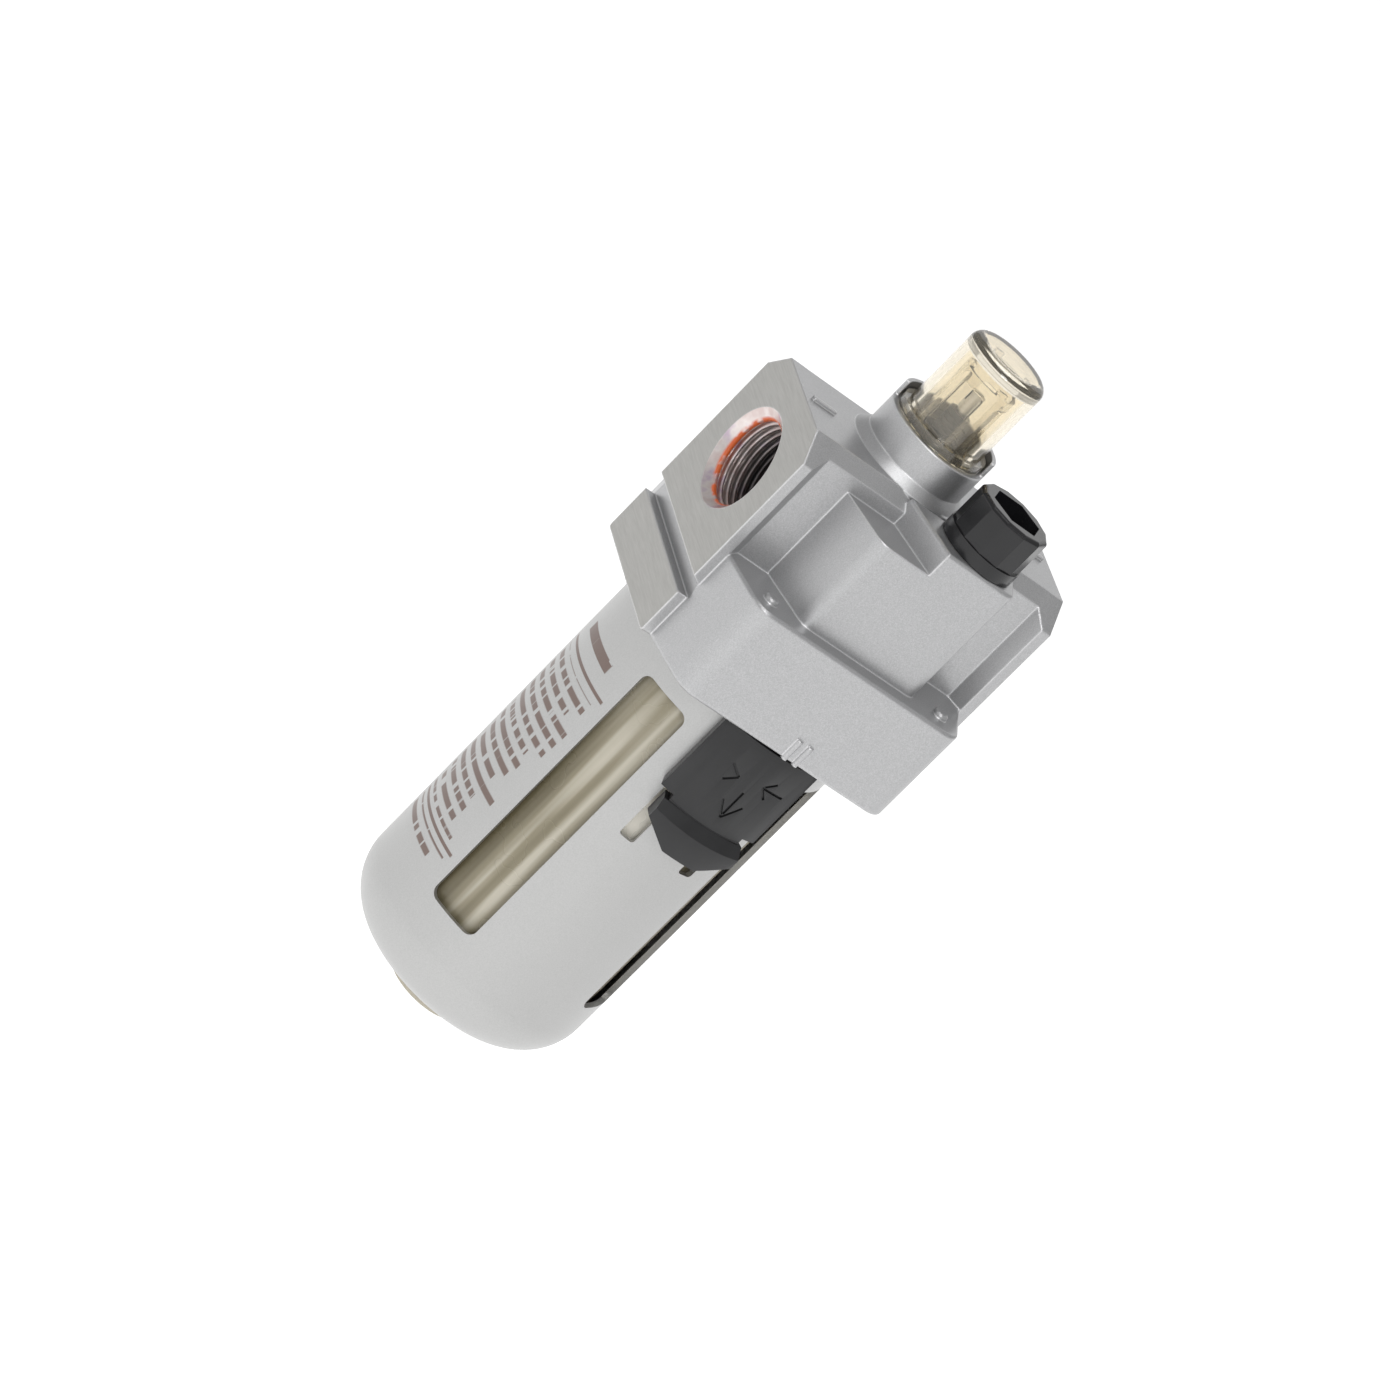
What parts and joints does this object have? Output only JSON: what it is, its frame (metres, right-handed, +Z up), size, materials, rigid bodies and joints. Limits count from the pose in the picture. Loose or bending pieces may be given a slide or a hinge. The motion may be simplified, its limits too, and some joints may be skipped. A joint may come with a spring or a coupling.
{
  "type": "air line lubricator",
  "caption": "Modular air line oil-mist lubricator: threaded ports in a die-cast head, transparent sight dome, oil filling plug, and a windowed bowl guard with a push-down lock button.",
  "frame": {"origin": "point where the pipe axis through both ports crosses the bowl axis", "axes": "+X along the pipe axis in the flow direction, from the inlet to the outlet; +Z up along the bowl axis, towards the sight dome; -Y is the front with the lock button"},
  "size_m": [0.053, 0.0528, 0.142],
  "materials": {
    "cast_head": "silver paint over die-cast, port faces machined",
    "guard_steel": "satin silver paint",
    "amber_clear": "transparent amber polycarbonate",
    "bowl_clear": "translucent polycarbonate",
    "cup_clear": "clear moulded plastic",
    "black_gloss": "black glossy moulding",
    "black_satin": "black satin moulding",
    "black_rubber": "nitrile rubber",
    "brass": "turned",
    "steel": "bright",
    "dark_plastic": "dark grey moulding",
    "white_nylon": "natural nylon"
  },
  "bodies": {
    "head": {"head_body": "cast_head", "damper_holder": "dark_plastic", "damper_pin": "steel", "air_check_seat": "brass", "oil_check_valve": "white_nylon", "suction_tube": "white_nylon", "suction_strainer": "white_nylon", "drip_nozzle": "brass", "drip_cup": "cup_clear", "needle_holder": "dark_plastic"},
    "dome": {"sight_dome": "amber_clear", "dome_seal": "black_rubber"},
    "needle": {"needle_screw": "steel"},
    "damper": {"flow_damper": "black_rubber"},
    "air_ball": {"air_check_ball": "steel"},
    "oil_ball": {"oil_check_ball": "steel"},
    "bowl_assembly": {"bowl": "bowl_clear", "bowl_guard": "guard_steel", "bowl_seal": "black_rubber", "bowl_retaining_ring": "steel", "lock_spring": "steel"},
    "button": {"lock_button": "black_satin", "button_clip": "steel"},
    "plug_ring": {"fill_plug_seal": "black_rubber"},
    "plug": {"fill_plug": "black_gloss"}
  },
  "joints": [
    {"name": "bowl_turn", "type": "hinge", "parent": "head", "child": "bowl_assembly", "pos_m": [0, 0, -0.02], "axis": [0, 0, 1], "range_deg": [0, 45]},
    {"name": "button_slide", "type": "slide", "parent": "bowl_assembly", "child": "button", "axis": [0, 0, -1], "range_m": [0, 0.003], "stiffness_N_per_m": 300, "springref_m": -0.002, "deforming": ["lock_spring"]},
    {"name": "dome_turn", "type": "hinge", "parent": "head", "child": "dome", "pos_m": [-0.0044, 0, 0.02], "axis": [0, 0, 1], "range_deg": [0, 1080]},
    {"name": "needle_lift", "type": "slide", "parent": "head", "child": "needle", "axis": [0, 0, 1], "range_m": [0, 0.00149]},
    {"name": "plug_lift", "type": "slide", "parent": "head", "child": "plug_ring", "axis": [0, 0, 1], "range_m": [0, 0.00499]},
    {"name": "plug_turn", "type": "hinge", "parent": "plug_ring", "child": "plug", "pos_m": [0.0058, -0.0155, 0.015], "axis": [0, 0, 1], "range_deg": [0, 1800]},
    {"name": "damper_swing", "type": "hinge", "parent": "head", "child": "damper", "pos_m": [-0.0086, 0, 0.0053], "axis": [0, -1, 0], "range_deg": [0, 40]},
    {"name": "air_ball_lift", "type": "slide", "parent": "head", "child": "air_ball", "axis": [0, 0, 1], "range_m": [0, 0.0004]},
    {"name": "oil_ball_lift", "type": "slide", "parent": "head", "child": "oil_ball", "axis": [0, 0, 1], "range_m": [0, 0.0008]}
  ],
  "couplings": [
    {"joint": "dome_turn", "follows": "needle_lift", "rad_per_m": 12566},
    {"joint": "plug_turn", "follows": "plug_lift", "rad_per_m": 6283.2}
  ]
}
